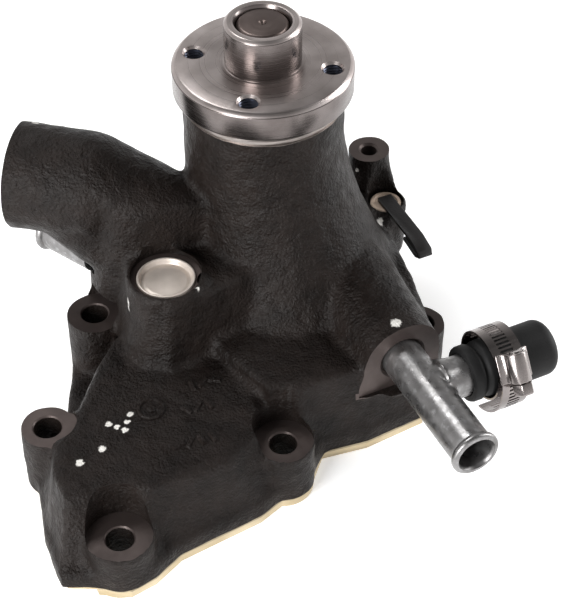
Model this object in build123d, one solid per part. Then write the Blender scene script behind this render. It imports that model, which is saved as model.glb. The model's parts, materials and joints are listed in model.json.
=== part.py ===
"""Engine coolant pump with a cast body, a snout bearing, a drive hub and hose fittings.

Millimetres. The origin is on the shaft axis at the rear face of the cover plate.
+Z runs along the shaft towards the hub nose, the heater tee points along -Y and
its capped branch along +X. Each function makes one sub-part in that frame.
"""
import math
import os

from build123d import *

# Rear stack: cover plate, gasket, then the casting
PLATE_T = 3.0
GASKET_T = 0.8
BASE_Z = PLATE_T + GASKET_T
PLATE_INSET = 2.5
EYE_R = 20.0

# Casting levels along the shaft
SHELF_Z = 12.0
DECK_Z = 34.0
BLOCK_Z = 40.0
LEDGE_Z = 62.0
SNOUT_TOP = 116.0
SNOUT_R = 29.5
CHAMBER_R = 38.0
CHAMBER_TOP = 28.0

# Shaft, hub and bearing
SHAFT_R = 9.525
SHAFT_TAIL_R = 7.95
SHAFT_BOTTOM = 5.0
SHAFT_TOP = 146.0
BEARING_R = 19.05
BEARING_LOW = 50.0
BEARING_HIGH = 105.0
RACE_R = 15.875
PITCH_R = 12.7
BALL_R = 3.14
BALL_COUNT = 8
BALL_Z = 93.0
ROLLER_R = 3.14
ROLLER_LENGTH = 13.0
ROLLER_COUNT = 10
ROLLER_Z = 65.0
SEAL_GAP = 0.05
HUB_R = 33.0
HUB_TOP = 130.0
HUB_T = 11.5
NOSE_R = 14.0
NOSE_TOP = 146.7
HUB_BOLT_CIRCLE_R = 25.4
HUB_BOLT_COUNT = 4
HUB_BOLT_START = -37.0
HUB_TAP_R = 3.4

# Shaft seal
SEAL_BORE_R = 17.2
SEAL_BORE_TOP = 42.0
WEEP_R = 15.0
SEAL_FACE_Z = 31.0
RING_T = 4.0

# Impeller
IMPELLER_R = 35.0
IMPELLER_LOW = 6.0
IMPELLER_HIGH = 25.0
SHROUD_T = 3.0
VANE_COUNT = 6
VANE_T = 3.0

# Mounting bolts: name, centre, boss radius, spot-face height
BOLT_R = 5.1
BOSSES = {
    "a": ((-71.6, 2.0), 10.5, 33.0),
    "b": ((-107.7, -43.1), 9.5, 30.0),
    "c": ((-31.5, -80.9), 11.5, 22.0),
    "d": ((-100.5, -92.7), 12.0, 18.0),
    "g": ((40.0, -55.0), 9.0, 30.0),
}
SPOT_R = 10.8

# Cup plug in the ledge
PLUG_XY = (-50.3, -21.3)
PLUG_R = 11.0
PLUG_TOP = 62.6
PLUG_WALL = 1.2

# Hose elbow
PIPE_R = 20.0
PIPE_BORE_R = 16.5
PIPE_Z = 81.7
COLUMN_XY = (-48.4, 10.3)
MOUTH_XY = (-84.8, 35.6)
PIPE_ANGLE = 142.0
KNEE_BACK = 27.0
KNEE_DROP = 27.0

# Heater tee, its rubber cap and the worm clamp
TEE_X = 20.0
TEE_Z = 39.0
TEE_FACE_Y = -76.3
TEE_BOSS_R = 15.5
TEE_FACE_LOW = 24.0
TUBE_R = 8.0
TUBE_WALL = 1.2
TEE_END_Y = -129.3
BRANCH_Y = -93.4
BRANCH_R = 7.9
BRANCH_END_X = 50.0
CAP_R = 10.7
CAP_START_X = 35.2
CAP_END_X = 71.5
BAND_T = 0.8
BAND_W = 12.0
BAND_X = 48.5
BAND_R = 12.6
BAND_LIFT = 1.6
TAIL_RISE = 6.5
CLAMP_ANGLE = 145.0
SCREW_R = 2.6
BARREL_R = 3.9
BARREL_UP = 3.95

# Bypass tube behind the elbow
BYPASS_ROOT = (-60.5, 11.0, 50.0)
BYPASS_END = (-74.6, 38.6, 50.0)

# Cover screws
SCREW_HOLE_R = 2.6
SCREW_HEAD_R = 4.6
SCREW_SHANK_R = 2.5
SCREW_TIP_Z = 12.0
SEAT_LOW = 26.0
BEAD_R = 9.2
SPRING_WIRE_R = 0.6
STRAP_W = 6.2
PLUG_RIM_T = 1.4
FOOT = (Align.CENTER, Align.CENTER, Align.MIN)

# Rear right bosses
TAPPED = (53.0, 13.5, 62.0)
TAPPED_BOSS_R = 8.0
TAPPED_R = 3.2
PORT = (53.0, -2.0, 45.0)
PORT_BOSS_R = 8.3
PORT_R = 4.5


def disc(x, y, low, high, radius):
    """Upright cylinder between two heights."""
    return Pos(x, y, (low + high) / 2) * Cylinder(radius, high - low)


def ring(x, y, low, high, outer, inner):
    """Upright tube between two heights."""
    return disc(x, y, low, high, outer) - disc(x, y, low - 1, high + 1, inner)


def rod(start, end, radius):
    """Cylinder from one point to another."""
    axis = Vector(*end) - Vector(*start)
    return Plane(origin=start, z_dir=axis) * Cylinder(
        radius, axis.length, align=(Align.CENTER, Align.CENTER, Align.MIN)
    )


def prism(points, low, high):
    """Straight prism on a polygon."""
    return Pos(0, 0, low) * extrude(make_face(Polyline(*points, close=True)), high - low)


def polar(radius, angle, z=0.0):
    """Point at a radius and an angle in degrees about the shaft."""
    turn = math.radians(angle)
    return (radius * math.cos(turn), radius * math.sin(turn), z)


def base_points():
    """Corners of the casting's foot, clockwise from the left."""
    return [
        (-115, -47),
        (-122, -72),
        (-123.5, -93),
        (-112, -99),
        (-102, -105),
        (-92, -103.5),
        (-80, -98),
        (-47, -94.7),
        (-21, -85.5),
        (-13, -77),
        (5, -79.5),
        (38, -77),
        (46, -66),
        (51, -40),
        (60, -8),
        (61, 22),
        (44, 43),
        (8, 50),
        (-32, 44),
        (-64, 33),
        (-80, 8),
        (-91, -14),
        (-99, -34),
    ]


def base_outline():
    """Foot of the casting: the corners with the bolt bosses joined on."""
    outline = make_face(Polyline(*base_points(), close=True))
    for (x, y), radius, _top in BOSSES.values():
        outline += Pos(x, y) * Circle(radius)
    return outline


def deck():
    """Sloping-sided cover of the outlet passage, at the front left."""
    foot = [
        (-108, -44),
        (-115, -47),
        (-122, -72),
        (-123.5, -93),
        (-102, -104),
        (-86, -98.5),
        (-47, -94.7),
        (-24, -86),
        (-10, -77),
        (-10, -20),
        (-50, -5),
        (-70, -5),
        (-90, -20),
    ]
    top = [
        (-98, -47),
        (-107, -52),
        (-114, -66),
        (-114.5, -80),
        (-103, -81),
        (-88, -88),
        (-58, -90),
        (-44, -84),
        (-37, -68),
        (-20, -40),
        (-50, -10),
        (-66, -12),
        (-82, -27),
    ]
    low = Pos(0, 0, BASE_Z) * make_face(Polyline(*foot, close=True))
    high = Pos(0, 0, DECK_Z) * make_face(Polyline(*top, close=True))
    return loft([low, high], ruled=True)


def block():
    """Pump chamber block under the snout, with its draughted front wall."""
    foot = [
        (-24, -83),
        (-13, -77),
        (5, -79.5),
        (38, -77),
        (46, -66),
        (51, -40),
        (59, -8),
        (60, 22),
        (44, 43),
        (8, 50),
        (-32, 44),
        (-64, 33),
        (-70, 0),
        (-50, -30),
    ]
    top = [
        (-32, -70),
        (-21, -73.5),
        (4, -75),
        (34, -74),
        (39, -62),
        (45, -38),
        (50, -8),
        (51, 16),
        (40, 37),
        (8, 44),
        (-29, 38),
        (-58, 28),
        (-62, 0),
        (-40, -36),
    ]
    low = Pos(0, 0, BASE_Z) * make_face(Polyline(*foot, close=True))
    high = Pos(0, 0, BLOCK_Z) * make_face(Polyline(*top, close=True))
    return loft([low, high], ruled=True)


def ledge():
    """Raised step that carries the cup plug beside the snout."""
    foot = [
        (-70, -27),
        (-67, -35),
        (-59, -42),
        (-36, -38),
        (-10, -42),
        (0, 0),
        (-50, 12),
        (-66, -4),
    ]
    top = [
        (-64, -22),
        (-61, -31),
        (-54, -36.5),
        (-38, -35.5),
        (-20, -30),
        (0, 0),
        (-48, 10),
        (-60, -6),
    ]
    low = Pos(0, 0, DECK_Z - 4) * make_face(Polyline(*foot, close=True))
    high = Pos(0, 0, LEDGE_Z) * make_face(Polyline(*top, close=True))
    return loft([low, high], ruled=True)


def bell():
    """Snout and the flare that carries it down to the chamber block."""
    stations = [
        (5.5, -12.0, 36.0, 44.5),
        (4.0, -6.5, 60.0, 34.0),
        (1.5, -2.0, 82.0, 30.5),
        (0.0, 0.0, 110.0, 29.5),
    ]
    rings = [Pos(x, y, z) * Circle(radius) for x, y, z, radius in stations]
    return loft(rings) + disc(0, 0, 20, SNOUT_TOP, SNOUT_R)


def pipe_direction():
    """Level direction from the elbow's knee out to its mouth."""
    return Vector(*polar(1.0, PIPE_ANGLE))


def knee_point():
    """Where the elbow's level pipe meets its sloping shoulder."""
    knee = Vector(MOUTH_XY[0], MOUTH_XY[1], PIPE_Z) - pipe_direction() * KNEE_BACK
    return (knee.X, knee.Y, knee.Z)


def shoulder(knee):
    """Sloping top of the elbow, trimmed to the column's plan so that its sides stand upright."""
    slope = math.radians(KNEE_DROP)
    down = pipe_direction() * -math.cos(slope) - Vector(0, 0, math.sin(slope))
    low_end = knee + down * 60
    sloped = rod((knee.X, knee.Y, knee.Z), (low_end.X, low_end.Y, low_end.Z), PIPE_R)
    column = Pos(COLUMN_XY[0], COLUMN_XY[1]) * Circle(PIPE_R)
    root = Pos(-12, 2) * Circle(12)
    plan = make_hull(column.edges() + root.edges())
    return sloped & extrude(plan, PIPE_Z + PIPE_R)


def elbow():
    """Hose elbow: upright column, sloping shoulder and level pipe."""
    knee = Vector(*knee_point())
    pipe = rod((knee.X, knee.Y, knee.Z), (MOUTH_XY[0], MOUTH_XY[1], PIPE_Z), PIPE_R)
    column = disc(COLUMN_XY[0], COLUMN_XY[1], BASE_Z, PIPE_Z - 6, PIPE_R)
    inner = knee + pipe_direction() * (KNEE_BACK * 0.45)
    low_end = (COLUMN_XY[0], COLUMN_XY[1], PIPE_Z - 30)
    bend = rod((inner.X, inner.Y, PIPE_Z - 2), low_end, PIPE_R - 2.5)
    return pipe + Pos(knee) * Sphere(PIPE_R) + shoulder(knee) + column + bend


def elbow_bore():
    """Water passage of the elbow, down to the chamber."""
    knee = Vector(*knee_point())
    out = Vector(MOUTH_XY[0], MOUTH_XY[1], PIPE_Z) + pipe_direction() * 2
    column = Vector(COLUMN_XY[0], COLUMN_XY[1], PIPE_Z - 8)
    level = rod((knee.X, knee.Y, knee.Z), (out.X, out.Y, out.Z), PIPE_BORE_R)
    bend = rod((knee.X, knee.Y, knee.Z), (column.X, column.Y, column.Z), PIPE_BORE_R - 1)
    down = disc(column.X, column.Y, CHAMBER_TOP - 6, column.Z, PIPE_BORE_R - 1)
    turns = Pos(knee) * Sphere(PIPE_BORE_R - 0.5) + Pos(column) * Sphere(PIPE_BORE_R - 1)
    return level + bend + down + turns


def tee_boss():
    """Drafted boss behind the tee's spot-face, with a skirt down to the block."""
    face = Plane(origin=(TEE_X, TEE_FACE_Y, TEE_Z), z_dir=(0, 1, 0))
    boss = face * Cone(TEE_BOSS_R, TEE_BOSS_R + 4, 44, align=FOOT)
    skirt = Pos(TEE_X, TEE_FACE_Y, TEE_FACE_LOW) * Box(
        2 * TEE_BOSS_R - 1, 24, TEE_Z - TEE_FACE_LOW, align=(Align.CENTER, Align.MIN, Align.MIN)
    )
    return boss + skirt


def water_space():
    """Cored hollows: chamber round the impeller and the passage under the deck."""
    passage = [
        (-64, -42),
        (-104, -56),
        (-110, -72),
        (-110, -77),
        (-84, -80),
        (-48, -74),
        (-10, -62),
        (-10, -40),
    ]
    hollow = disc(0, 0, 0, CHAMBER_TOP, CHAMBER_R) + prism(passage, 0, CHAMBER_TOP)
    for (x, y), radius, _top in BOSSES.values():
        hollow -= disc(x, y, -1, 60, radius + 3)
    return hollow + prism([(-60, -50), (-62, 0), (-40, 22), (-30, -30)], 0, CHAMBER_TOP)


def housing():
    """Cast body with its machined faces, bores and tapped holes."""
    body = deck() + block() + ledge() + bell() + elbow() + tee_boss()
    for (x, y), radius, top in BOSSES.values():
        body += disc(x, y, BASE_Z, top, radius)
    body += extrude(Pos(0, 0, BASE_Z) * base_outline(), SHELF_Z - BASE_Z - 2)
    body += disc(PLUG_XY[0], PLUG_XY[1], 40, LEDGE_Z, PLUG_R + 4)
    body += disc(TAPPED[0], TAPPED[1], BLOCK_Z - 6, TAPPED[2], TAPPED_BOSS_R)
    low_end = (PORT[0], PORT[1], PORT[2] - 8)
    body += rod((TAPPED[0], TAPPED[1], TAPPED[2] - 4), low_end, TAPPED_BOSS_R - 0.3)
    body += rod((TAPPED[0], TAPPED[1], 48), (20, 5, 48), 5)
    body += disc(PORT[0], PORT[1], 22, PORT[2], PORT_BOSS_R)
    return body


def housing_cuts(body):
    """Machining on the casting."""
    body -= water_space()
    body -= elbow_bore()
    for (x, y), radius, top in BOSSES.values():
        body -= disc(x, y, top, top + 18 if radius > 11 else top + 4, SPOT_R)
        body -= disc(x, y, 0, top + 1, BOLT_R)
    body -= disc(PLUG_XY[0], PLUG_XY[1], CHAMBER_TOP - 1, LEDGE_Z + 8, PLUG_R)
    body -= disc(0, 0, CHAMBER_TOP - 1, SEAL_BORE_TOP, SEAL_BORE_R)
    body -= disc(0, 0, SEAL_BORE_TOP - 1, SEAL_BORE_TOP + 2, SHAFT_TAIL_R + 3)
    body -= disc(0, 0, SEAL_BORE_TOP + 1, BEARING_LOW, WEEP_R)
    body -= disc(0, 0, BEARING_LOW, SNOUT_TOP + 1, BEARING_R)
    body -= rod((-10, -7, 46.5), (-42, -29.5, 64.5), 2.4)
    body -= disc(TAPPED[0], TAPPED[1], TAPPED[2] - 16, TAPPED[2] + 6, TAPPED_R)
    body -= disc(PORT[0], PORT[1], PORT[2] - 14, PORT[2] + 20, PORT_R)
    body -= disc(PORT[0], PORT[1], PORT[2], PORT[2] + 20, PORT_BOSS_R - 1)
    body -= disc(TAPPED[0], TAPPED[1], TAPPED[2], TAPPED[2] + 10, TAPPED_BOSS_R + 2)
    body -= rod((TEE_X, TEE_FACE_Y - 4, TEE_Z), (TEE_X, TEE_FACE_Y + 28, TEE_Z), TUBE_R)
    body -= rod((TEE_X, TEE_FACE_Y + 20, TEE_Z), (TEE_X, -38, CHAMBER_TOP - 5), TUBE_R - 2)
    for x, y in screw_places():
        body -= disc(x, y, 0, SCREW_TIP_Z + 1, SCREW_SHANK_R)
    bypass_in = Vector(*BYPASS_ROOT)
    body -= rod((bypass_in.X, bypass_in.Y, bypass_in.Z), BYPASS_END, TUBE_R)
    return body


def pump_housing():
    """Finished casting."""
    return housing_cuts(housing())


def plate_outline():
    """Cover plate: inset under the casting, and flush with it along the front."""
    whole = base_outline()
    front = whole & Pos(-41, -92) * Rectangle(142, 36)
    inset = offset(make_face(Polyline(*base_points(), close=True)), -PLATE_INSET)
    for (x, y), radius, _top in BOSSES.values():
        inset += Pos(x, y) * Circle(radius - 1.5)
    return inset + front


def plate_ports():
    """Openings of the plate and gasket: the impeller's eye, the outlet and the bolt holes."""
    outlet = Pos(-82, -66) * RectangleRounded(34, 20, 6)
    ports = Circle(EYE_R) + outlet
    for (x, y), _radius, _top in BOSSES.values():
        ports += Pos(x, y) * Circle(BOLT_R)
    return ports


def screw_places():
    """Centres of the countersunk screws that hold the plate to the casting."""
    return [(50, 8), (6, -47), (-42, 32), (-96, -60), (-62, -84), (24, 42)]


def cover_gasket():
    """Paper gasket between the casting and the plate."""
    sheet = Pos(0, 0, PLATE_T) * extrude(plate_outline() - plate_ports(), GASKET_T)
    for x, y in screw_places():
        sheet -= disc(x, y, 0, BASE_Z + 1, SCREW_HOLE_R)
    return sheet


def rear_cover_plate():
    """Stamped plate that closes the pump chamber from behind."""
    plate = extrude(plate_outline() - plate_ports(), PLATE_T)
    for x, y in screw_places():
        plate -= disc(x, y, -1, PLATE_T + 1, SCREW_HOLE_R)
        plate -= Pos(x, y, 0) * Cone(SCREW_HEAD_R, SCREW_HOLE_R, 2.4, align=FOOT)
    return plate


def cover_screws():
    """Countersunk screws from the rear, with a hexagon socket each."""
    screws = []
    for x, y in screw_places():
        head = Pos(x, y, 0) * Cone(SCREW_HEAD_R, SCREW_HOLE_R, 2.4, align=FOOT)
        shank = disc(x, y, 0, SCREW_TIP_Z, SCREW_SHANK_R)
        socket = Pos(x, y, 0) * extrude(RegularPolygon(1.7, 6), 1.8)
        screws.append(head + shank - socket)
    return Compound(children=screws)


def core_plug():
    """Dished cup plug pressed into the ledge."""
    cup = disc(*PLUG_XY, PLUG_TOP - 7, PLUG_TOP, PLUG_R)
    cup -= disc(*PLUG_XY, PLUG_TOP - 2, PLUG_TOP + 1, PLUG_R - PLUG_WALL)
    return cup - disc(*PLUG_XY, PLUG_TOP - 8, PLUG_TOP - 3.2, PLUG_R - PLUG_WALL)


def tee_tube():
    """Heater tee: pressed-in tube with a side branch."""
    root = (TEE_X, TEE_FACE_Y + 22, TEE_Z)
    tip = (TEE_X, TEE_END_Y, TEE_Z)
    branch_tip = (BRANCH_END_X, BRANCH_Y, TEE_Z)
    run = rod(root, tip, TUBE_R) + rod(tip, (TEE_X, TEE_END_Y + 3, TEE_Z), BEAD_R)
    tee = run + rod((TEE_X, BRANCH_Y, TEE_Z), branch_tip, BRANCH_R)
    tee -= rod((TEE_X, TEE_END_Y - 1, TEE_Z), (TEE_X, root[1] + 1, TEE_Z), TUBE_R - TUBE_WALL)
    return tee - branch_rod(TEE_X, BRANCH_END_X + 1, BRANCH_R - TUBE_WALL)


def branch_rod(low_x, high_x, radius):
    """Cylinder on the axis of the tee's branch."""
    return rod((low_x, BRANCH_Y, TEE_Z), (high_x, BRANCH_Y, TEE_Z), radius)


def branch_cap():
    """Blind rubber cap on the branch."""
    cap = branch_rod(CAP_START_X, CAP_END_X, CAP_R)
    end_edge = cap.edges().sort_by(Axis.X)[-1]
    cap = fillet(end_edge, 3.0)
    return cap - branch_rod(CAP_START_X - 1, BRANCH_END_X + 0.5, BRANCH_R)


def clamp_frame():
    """Plane at the clamp's screw housing: x along the branch, z radially outwards."""
    turn = math.radians(CLAMP_ANGLE)
    outward = (0, math.cos(turn), math.sin(turn))
    centre = (BAND_X, BRANCH_Y, TEE_Z + BAND_LIFT)
    return Plane(origin=centre, x_dir=(1, 0, 0), z_dir=outward)


def band_point(turn, radius):
    """Point in the band's middle plane at an angle and a radius about its centre."""
    up = TEE_Z + BAND_LIFT + radius * math.sin(turn)
    return (BAND_X, BRANCH_Y + radius * math.cos(turn), up)


def band_tail():
    """Free end of the band: a strip that spirals away under the screw housing."""
    steps = 24
    inside = []
    outside = []
    for i in range(steps + 1):
        share = i / steps
        turn = math.radians(CLAMP_ANGLE - 18 + 138 * share)
        radius = BAND_R + BAND_T - 0.3 + TAIL_RISE * share**1.6
        inside.append(band_point(turn, radius))
        outside.append(band_point(turn, radius + BAND_T))
    face = make_face(Polyline(*inside, *reversed(outside), close=True))
    return extrude(face, BAND_W / 2 - 0.4, both=True)


def clamp_band():
    """Stainless band round the cap, with its loose tail."""
    centre = Pos(BAND_X, BRANCH_Y, TEE_Z + BAND_LIFT) * Rot(0, 90, 0)
    loop = centre * (Cylinder(BAND_R + BAND_T, BAND_W) - Cylinder(BAND_R, BAND_W + 2))
    return loop + band_tail()


def clamp_housing():
    """Saddle that holds the worm screw over the band."""
    low = BAND_R + 2 * BAND_T + 0.1
    block_part = Pos(0, 0, low) * Box(BAND_W + 1, 11, 3.2, align=FOOT)
    barrel = Pos(0, 0, low + BARREL_UP) * Rot(90, 0, 0) * Cylinder(BARREL_R, 11)
    bore = Pos(0, 0, low + BARREL_UP) * Rot(90, 0, 0) * Cylinder(SCREW_R + 0.05, 13)
    return clamp_frame() * (block_part + barrel - bore)


def clamp_screw():
    """Worm screw with a slotted hexagon head."""
    low = BAND_R + 2 * BAND_T + 0.1
    shank = Rot(90, 0, 0) * Cylinder(SCREW_R, 12)
    head = Pos(0, -6, 0) * Rot(90, 0, 0) * extrude(RegularPolygon(4.0, 6), 4.5)
    slot = Pos(0, -10.5, 0) * Box(9, 2.4, 1.2)
    return clamp_frame() * Pos(0, 0, low + BARREL_UP) * (shank + head - slot)


def bypass_tube():
    """Short beaded tube pressed into the column behind the elbow."""
    root = Vector(*BYPASS_ROOT)
    end = Vector(*BYPASS_END)
    line = (end - root).normalized()
    start = root + line * 6
    tube = rod(tuple(start), tuple(end), TUBE_R)
    tube += rod(tuple(end - line * 3), tuple(end), BEAD_R)
    return tube - rod(tuple(start - line), tuple(end + line), TUBE_R - TUBE_WALL)


def bearing_outer_race():
    """Outer sleeve of the shaft bearing."""
    return ring(0, 0, BEARING_LOW, BEARING_HIGH, BEARING_R, RACE_R)


def round_row(count, radius, make):
    """Copies of one solid spaced evenly about the shaft."""
    step = 360 / count
    return Compound(children=[Rot(0, 0, step * i) * Pos(radius, 0, 0) * make() for i in range(count)])


def bearing_balls():
    """Front row of balls."""
    return Pos(0, 0, BALL_Z) * round_row(BALL_COUNT, PITCH_R, lambda: Sphere(BALL_R))


def ball_cage():
    """Moulded cage of the ball row."""
    cage = ring(0, 0, BALL_Z - 4.5, BALL_Z + 4.5, PITCH_R + 1.6, PITCH_R - 1.6)
    for i in range(BALL_COUNT):
        pocket = Rot(0, 90, 0) * Cylinder(BALL_R + 0.1, 8)
        cage -= Rot(0, 0, 360 * i / BALL_COUNT) * Pos(PITCH_R, 0, BALL_Z) * pocket
    return cage


def bearing_rollers():
    """Rear row of rollers."""
    row = round_row(ROLLER_COUNT, PITCH_R, lambda: Cylinder(ROLLER_R, ROLLER_LENGTH))
    return Pos(0, 0, ROLLER_Z) * row


def roller_cage():
    """Moulded cage of the roller row."""
    half = ROLLER_LENGTH / 2 + 2
    cage = ring(0, 0, ROLLER_Z - half, ROLLER_Z + half, PITCH_R + 1.6, PITCH_R - 1.6)
    for i in range(ROLLER_COUNT):
        pocket = Cylinder(ROLLER_R + 0.1, ROLLER_LENGTH + 0.2)
        cage -= Rot(0, 0, 360 * i / ROLLER_COUNT) * Pos(PITCH_R, 0, ROLLER_Z) * pocket
    return cage


def bearing_seal_front():
    """Lip seal at the hub end of the bearing."""
    return ring(0, 0, BEARING_HIGH - 4, BEARING_HIGH - 1, RACE_R, SHAFT_R + SEAL_GAP)


def bearing_seal_rear():
    """Lip seal at the water end of the bearing."""
    return ring(0, 0, BEARING_LOW + 1, BEARING_LOW + 4, RACE_R, SHAFT_R + SEAL_GAP)


def pump_shaft():
    """Stepped shaft with a small chamfer at the hub end."""
    step = BEARING_LOW + 0.5
    shaft = disc(0, 0, step, SHAFT_TOP, SHAFT_R) + disc(0, 0, SHAFT_BOTTOM, step, SHAFT_TAIL_R)
    return chamfer(shaft.edges().sort_by(Axis.Z)[-1], 0.8)


def hub_flange():
    """Pressed-on drive hub with a pilot nose and tapped holes."""
    profile = [
        (SHAFT_R, HUB_TOP - HUB_T - 9),
        (13.5, HUB_TOP - HUB_T - 9),
        (13.5, HUB_TOP - HUB_T),
        (HUB_R - 1.2, HUB_TOP - HUB_T),
        (HUB_R, HUB_TOP - HUB_T + 1.2),
        (HUB_R, HUB_TOP - 1.6),
        (HUB_R - 1.6, HUB_TOP),
        (NOSE_R, HUB_TOP),
        (NOSE_R, NOSE_TOP - 1.2),
        (NOSE_R - 1.2, NOSE_TOP),
        (SHAFT_R, NOSE_TOP),
    ]
    section = Plane.XZ * make_face(Polyline(*profile, close=True))
    hub = revolve(section, Axis.Z)
    for i in range(HUB_BOLT_COUNT):
        x, y, _z = polar(HUB_BOLT_CIRCLE_R, HUB_BOLT_START + 360 * i / HUB_BOLT_COUNT)
        hub -= disc(x, y, HUB_TOP - HUB_T - 1, HUB_TOP + 1, HUB_TAP_R)
    return hub


def vane(index):
    """One swept vane of the impeller."""
    inner = 11.0
    start = Vector(*polar(inner, 0))
    middle = Vector(*polar(24.0, -22))
    end = Vector(*polar(IMPELLER_R - 0.5, -48))
    curve = ThreePointArc(tuple(start), tuple(middle), tuple(end))
    strip = trace(curve, VANE_T)
    height = IMPELLER_HIGH - SHROUD_T - IMPELLER_LOW + 0.5
    return Rot(0, 0, 360 * index / VANE_COUNT) * Pos(0, 0, IMPELLER_LOW) * extrude(strip, height)


def impeller():
    """Open impeller: shroud, hub and swept vanes."""
    body = disc(0, 0, IMPELLER_HIGH - SHROUD_T, IMPELLER_HIGH, IMPELLER_R)
    body += disc(0, 0, SHAFT_BOTTOM, SEAT_LOW, 13.0)
    for index in range(VANE_COUNT):
        body += vane(index)
    return body - disc(0, 0, 0, 40, SHAFT_TAIL_R)


def slinger():
    """Thin disc on the shaft that throws leaks into the weep hole."""
    return ring(0, 0, 46.0, 47.2, 12.5, SHAFT_TAIL_R)


def seal_seat():
    """Ceramic ring that turns with the impeller."""
    return ring(0, 0, SEAT_LOW, SEAL_FACE_Z, 15.0, 10.4)


def seat_boot():
    """Rubber sleeve that holds the ceramic ring on the shaft."""
    return ring(0, 0, SEAT_LOW, SEAL_FACE_Z - 0.6, 10.4, SHAFT_TAIL_R)


def seal_carbon_ring():
    """Carbon face pressed against the ceramic ring."""
    return ring(0, 0, SEAL_FACE_Z, SEAL_FACE_Z + RING_T, 14.2, 10.6)


def seal_shell():
    """Brass cup pressed into the seal bore."""
    cup = ring(0, 0, CHAMBER_TOP - 0.8, SEAL_BORE_TOP, SEAL_BORE_R, 10.2)
    cup -= disc(0, 0, CHAMBER_TOP - 2, SEAL_BORE_TOP - 0.8, SEAL_BORE_R - 0.8)
    return cup + ring(0, 0, CHAMBER_TOP - 0.8, CHAMBER_TOP, 20.0, SEAL_BORE_R - 0.8)


def seal_bellows():
    """Rubber bellows between the carbon ring and the cup."""
    low = SEAL_FACE_Z + RING_T
    high = SEAL_BORE_TOP - 0.8
    profile = [(10.6, low), (12.6, low), (11.6, low + 2), (12.6, low + 4), (12.6, high), (10.6, high)]
    return revolve(Plane.XZ * make_face(Polyline(*profile, close=True)), Axis.Z)


def seal_spring():
    """Coil spring round the bellows."""
    low = SEAL_FACE_Z + RING_T + SPRING_WIRE_R
    high = SEAL_BORE_TOP - 0.8 - SPRING_WIRE_R
    line = Helix(pitch=(high - low) / 3, height=high - low, radius=14.2)
    wire = Plane(origin=line @ 0, z_dir=line % 0) * Circle(SPRING_WIRE_R)
    return Pos(0, 0, low) * sweep(wire, path=line, is_frenet=True)


def port_plug():
    """Push-in plug of the rear right port."""
    x, y, z = PORT
    return disc(x, y, z - 8, z, PORT_R - 0.05) + disc(x, y, z, z + PLUG_RIM_T, 6.2)


def plug_pull_strap():
    """Flat pull tab on the plug, folded under itself at its free end."""
    x, y, z = PORT
    top = z + PLUG_RIM_T
    outer = [
        (-1.5, top),
        (-1.5, top + 1.8),
        (26, top + 0.9),
        (32, top - 0.8),
        (33, top - 3.6),
        (30, top - 5.0),
    ]
    under = [(20, top - 3.4), (20, top - 2.2), (29.4, top - 3.6), (31.2, top - 2.8), (30.6, top - 1.4)]
    inner = [(25, top - 0.6), (7, top)]
    face = make_face(Polyline(*[(0, -u, w) for u, w in outer + under + inner], close=True))
    return Pos(x, y, 0) * extrude(face, STRAP_W / 2, both=True)


NODES = [
    pump_housing,
    cover_gasket,
    rear_cover_plate,
    cover_screws,
    core_plug,
    tee_tube,
    branch_cap,
    clamp_band,
    clamp_housing,
    clamp_screw,
    bypass_tube,
    bearing_outer_race,
    bearing_balls,
    ball_cage,
    bearing_rollers,
    roller_cage,
    bearing_seal_front,
    bearing_seal_rear,
    pump_shaft,
    hub_flange,
    impeller,
    slinger,
    seal_seat,
    seat_boot,
    seal_carbon_ring,
    seal_shell,
    seal_bellows,
    seal_spring,
    port_plug,
    plug_pull_strap,
]


def main():
    """Write one file for each sub-part."""
    os.makedirs("parts", exist_ok=True)
    for make in NODES:
        solid = make()
        export_step(solid, f"parts/{make.__name__}.step")


if __name__ == "__main__":
    main()
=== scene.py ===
import json
import math

import bmesh
import bpy
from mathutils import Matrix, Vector, noise


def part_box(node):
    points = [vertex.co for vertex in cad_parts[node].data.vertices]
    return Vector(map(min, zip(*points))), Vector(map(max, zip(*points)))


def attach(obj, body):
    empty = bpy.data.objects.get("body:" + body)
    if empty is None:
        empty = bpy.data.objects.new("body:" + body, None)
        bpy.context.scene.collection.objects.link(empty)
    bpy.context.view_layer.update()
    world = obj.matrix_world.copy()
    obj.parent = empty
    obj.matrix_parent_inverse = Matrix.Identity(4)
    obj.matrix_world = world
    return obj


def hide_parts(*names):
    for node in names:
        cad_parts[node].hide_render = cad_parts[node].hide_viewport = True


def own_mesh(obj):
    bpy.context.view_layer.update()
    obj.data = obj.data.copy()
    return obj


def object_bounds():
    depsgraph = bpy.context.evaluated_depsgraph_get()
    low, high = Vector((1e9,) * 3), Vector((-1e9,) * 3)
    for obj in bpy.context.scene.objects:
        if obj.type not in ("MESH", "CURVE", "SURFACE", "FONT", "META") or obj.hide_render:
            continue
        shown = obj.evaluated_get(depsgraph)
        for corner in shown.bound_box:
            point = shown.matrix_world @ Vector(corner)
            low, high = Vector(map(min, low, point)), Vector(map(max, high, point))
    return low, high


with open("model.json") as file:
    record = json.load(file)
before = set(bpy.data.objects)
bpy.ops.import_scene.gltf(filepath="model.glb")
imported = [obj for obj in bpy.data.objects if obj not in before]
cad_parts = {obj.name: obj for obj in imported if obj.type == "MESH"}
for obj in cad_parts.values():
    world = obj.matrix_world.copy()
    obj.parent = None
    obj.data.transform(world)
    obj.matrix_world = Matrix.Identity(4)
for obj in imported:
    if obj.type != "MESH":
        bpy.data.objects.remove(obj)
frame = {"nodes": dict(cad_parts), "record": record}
CAD_LOW, CAD_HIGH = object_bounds()
BODY_OF = {node: body for body, nodes in frame["record"]["behaviour"]["bodies"].items() for node in nodes}
MOUNTS = {mount["name"]: mount for mount in frame["record"]["mounts"]}
MM = 0.001


# ---------------------------------------------------------------- materials


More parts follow.
